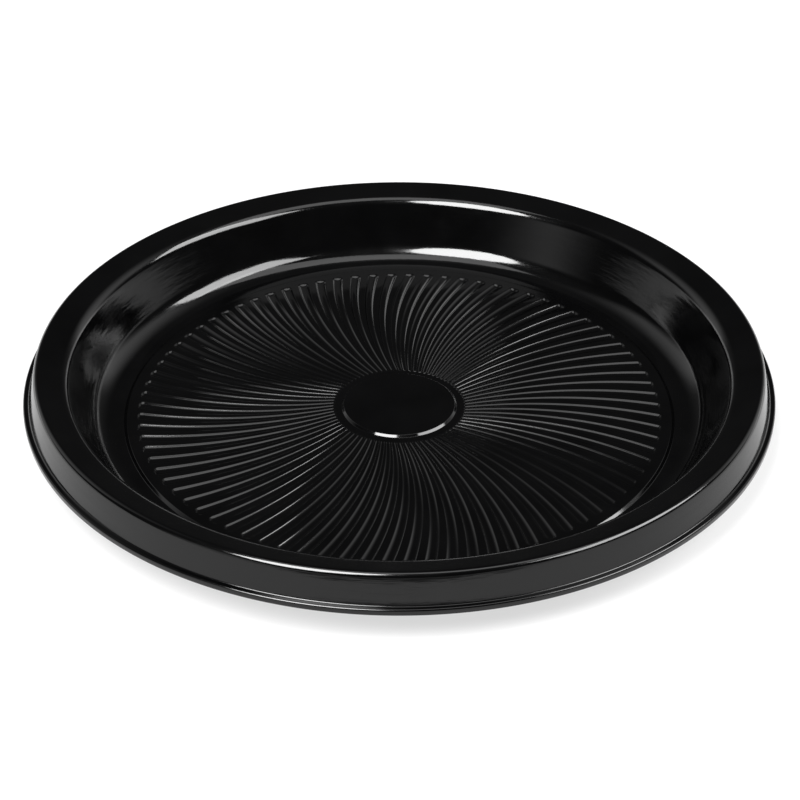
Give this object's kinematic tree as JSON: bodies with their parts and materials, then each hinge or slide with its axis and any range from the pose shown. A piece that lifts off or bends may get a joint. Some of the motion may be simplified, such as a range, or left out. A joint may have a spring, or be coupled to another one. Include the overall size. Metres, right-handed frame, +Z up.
{
  "type": "serving tray",
  "caption": "Round shallow catering tray moulded from one plastic sheet, with a swirl of ribs pressed into the floor, a plain centre disc, a sloped rim and a lid ledge round a turned-down lip.",
  "frame": {"origin": "centre of the tray on the plane it stands on, which is the underside of the standing ring", "axes": "+Z up along the tray's axis, through its open top; X and Y lie in the standing plane, and the tray is the same all round"},
  "size_m": [0.4063, 0.4064, 0.0374],
  "materials": {
    "floor": "gloss",
    "ribs": "gloss",
    "wall": "gloss",
    "rim": "gloss",
    "skirt": "gloss"
  },
  "bodies": {
    "root": {"floor_panel": "floor", "center_medallion": "floor", "swirl_ribs": "ribs", "drip_channel": "floor", "side_wall": "wall", "rim": "rim", "outer_skirt": "skirt", "edge_lip": "rim"}
  },
  "joints": []
}
